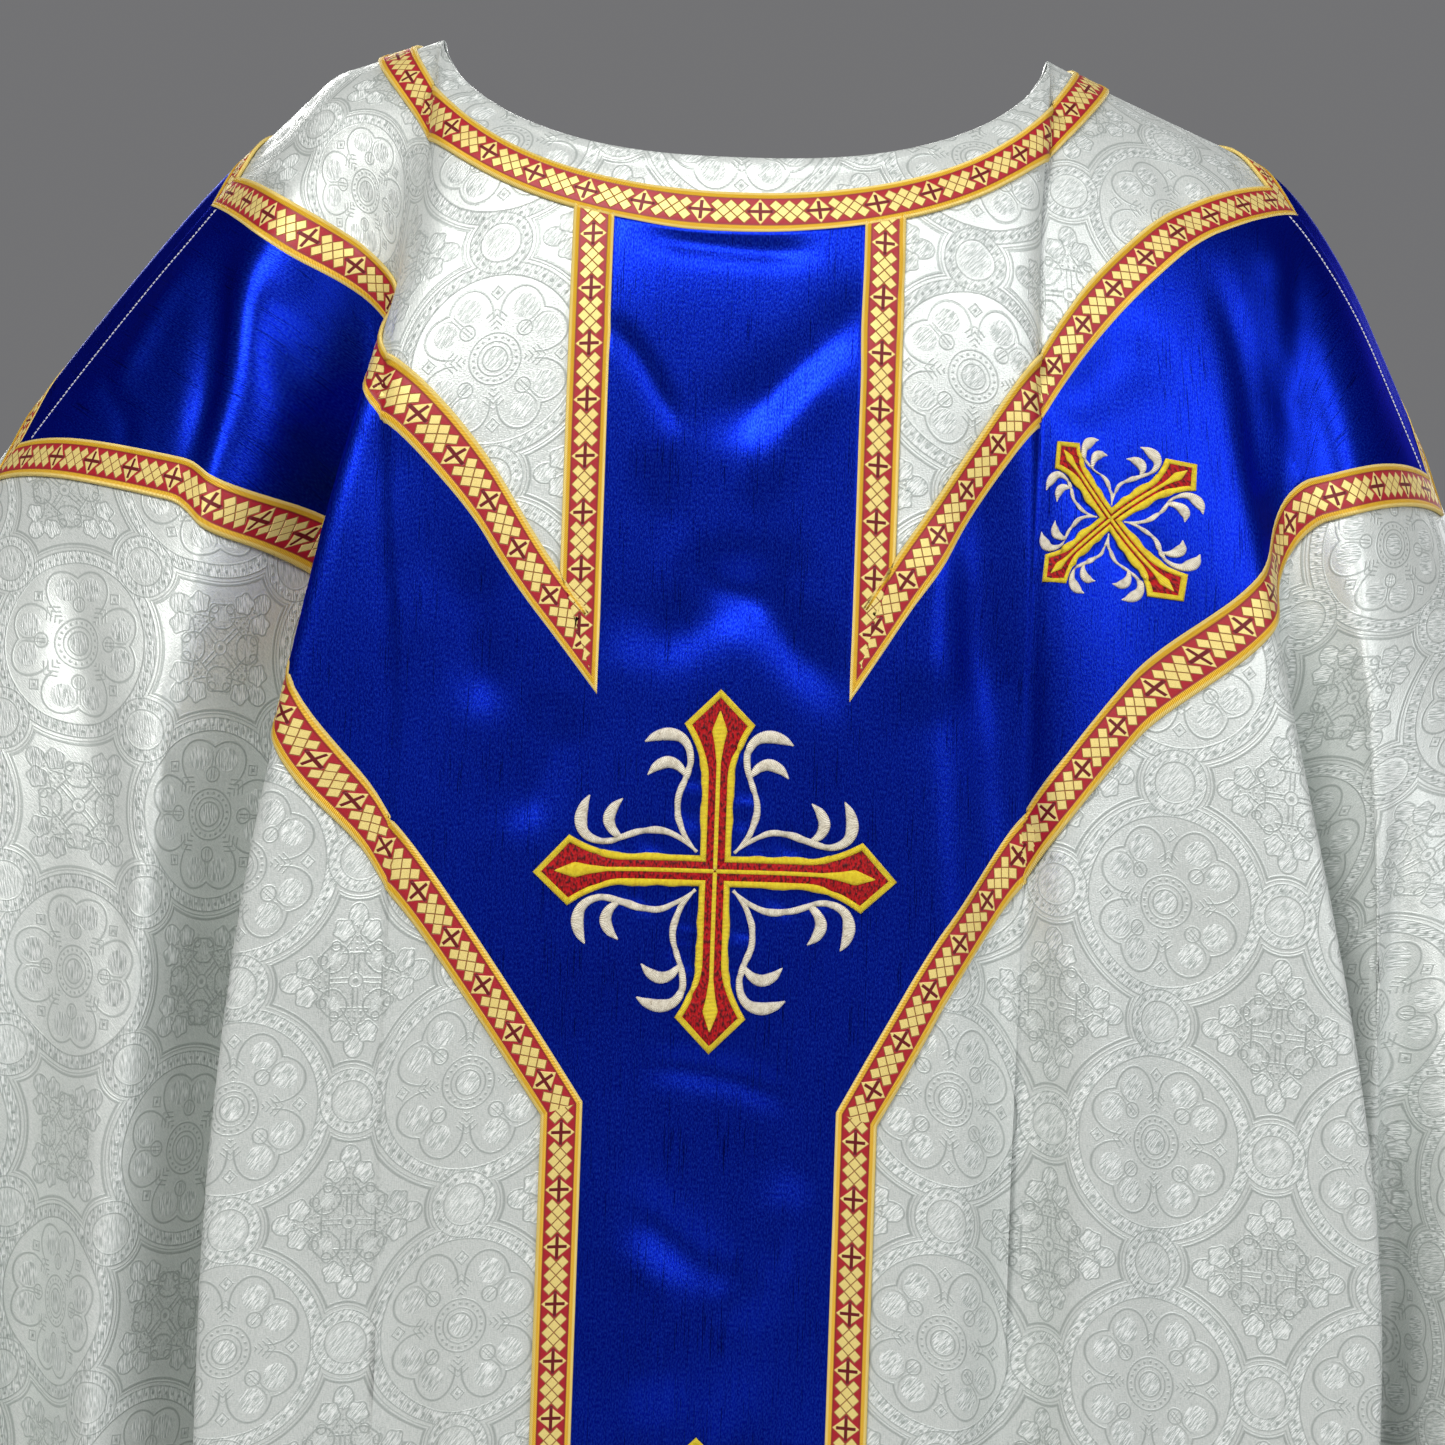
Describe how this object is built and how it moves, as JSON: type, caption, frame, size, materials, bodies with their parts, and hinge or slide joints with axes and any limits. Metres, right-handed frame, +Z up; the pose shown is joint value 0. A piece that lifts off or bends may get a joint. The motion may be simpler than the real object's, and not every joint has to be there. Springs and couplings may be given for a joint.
{
  "type": "gothic chasuble",
  "caption": "Full-cut sleeveless liturgical vestment of white damask with a blue Y-shaped orphrey, braid edging and pointed crosses, filled out as worn.",
  "frame": {"origin": "midway between the two points where the neck edge meets the shoulder seam, on the seam plane, where the wearer's shoulders carry the garment", "axes": "+Z up along the hanging cloth, +Y from the front of the garment to its back, +X across the shoulders to the right of someone who faces the front"},
  "size_m": [0.9644, 0.2864, 1.299],
  "materials": {
    "white_damask": "jacquard damask, satin figure on a duller ground",
    "blue_satin": "shantung satin with fine slubs",
    "woven_braid": "woven braid, metallic gold and red thread",
    "embroidery": "satin stitch, red with gold outline"
  },
  "bodies": {
    "root": {"front_panel": "white_damask", "back_panel": "white_damask", "orphrey_front": "blue_satin", "orphrey_back": "blue_satin", "neck_braid": "woven_braid", "braid_inner_front_left": "woven_braid", "braid_inner_front_right": "woven_braid", "braid_outer_front_left": "woven_braid", "braid_outer_front_right": "woven_braid", "braid_inner_back_left": "woven_braid", "braid_inner_back_right": "woven_braid", "braid_outer_back_left": "woven_braid", "braid_outer_back_right": "woven_braid", "cross_centre": "embroidery", "cross_lower": "embroidery", "cross_arm_left": "embroidery", "cross_arm_right": "embroidery"}
  },
  "joints": []
}
